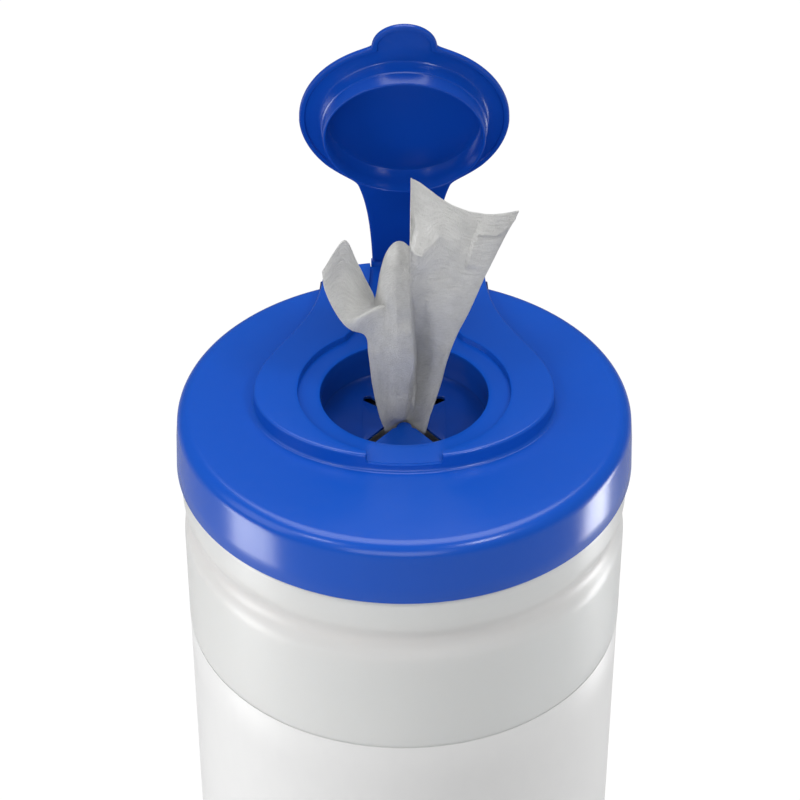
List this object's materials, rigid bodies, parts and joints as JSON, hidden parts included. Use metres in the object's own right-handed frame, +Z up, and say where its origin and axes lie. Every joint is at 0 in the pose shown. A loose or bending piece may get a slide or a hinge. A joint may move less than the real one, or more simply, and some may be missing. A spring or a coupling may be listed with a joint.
{
  "type": "wipes dispenser",
  "caption": "Tall cylindrical canister with a push-on lid, a flip cap on a living hinge, a four-petal orifice and a folded wipe standing in it.",
  "frame": {"origin": "centre of the canister's foot, at the surface it stands on", "axes": "+Z up along the canister, front of the lid and the cap's tab towards -Y, hinge at +Y, +X to the right seen from the front"},
  "size_m": [0.1336, 0.1336, 0.3653],
  "materials": {
    "canister": "satin",
    "label": "satin",
    "lid": "semi-gloss",
    "wipe": "matte"
  },
  "bodies": {
    "canister": {"canister": "canister", "label": "label", "wipe_roll": "wipe"},
    "lid": {"lid_shell": "lid", "hinge_film": "lid"},
    "cap": {"flip_cap": "lid"},
    "front_petal": {"petal_front": "lid"},
    "rear_petal": {"petal_rear": "lid"},
    "left_petal": {"petal_left": "lid"},
    "right_petal": {"petal_right": "lid"},
    "wipe": {"wipe_strand": "wipe", "wipe_sheet": "wipe"}
  },
  "joints": [
    {"name": "lid_lift", "type": "slide", "parent": "canister", "child": "lid", "axis": [0, 0, 1], "range_m": [0, 0.06]},
    {"name": "cap_hinge", "type": "hinge", "parent": "lid", "child": "cap", "pos_m": [0, 0.066, 0.265], "axis": [1, 0, 0], "range_deg": [-20, 73.1], "deforming": ["wipe_sheet", "wipe_strand"]},
    {"name": "wipe_pull", "type": "slide", "parent": "lid", "child": "wipe", "axis": [0, 0, 1], "range_m": [0, 0.22]},
    {"name": "front_petal_flex", "type": "hinge", "parent": "lid", "child": "front_petal", "pos_m": [0, -0.01135, 0.2524], "axis": [1, 0, 0], "range_deg": [-12, 20], "stiffness_Nm_per_rad": 0.001},
    {"name": "rear_petal_flex", "type": "hinge", "parent": "lid", "child": "rear_petal", "pos_m": [0, 0.01135, 0.2524], "axis": [-1, 0, 0], "range_deg": [-12, 20], "stiffness_Nm_per_rad": 0.001},
    {"name": "left_petal_flex", "type": "hinge", "parent": "lid", "child": "left_petal", "pos_m": [-0.01135, 0, 0.2524], "axis": [0, -1, 0], "range_deg": [-12, 20], "stiffness_Nm_per_rad": 0.001},
    {"name": "right_petal_flex", "type": "hinge", "parent": "lid", "child": "right_petal", "pos_m": [0.01135, 0, 0.2524], "axis": [0, 1, 0], "range_deg": [-12, 20], "stiffness_Nm_per_rad": 0.001}
  ]
}
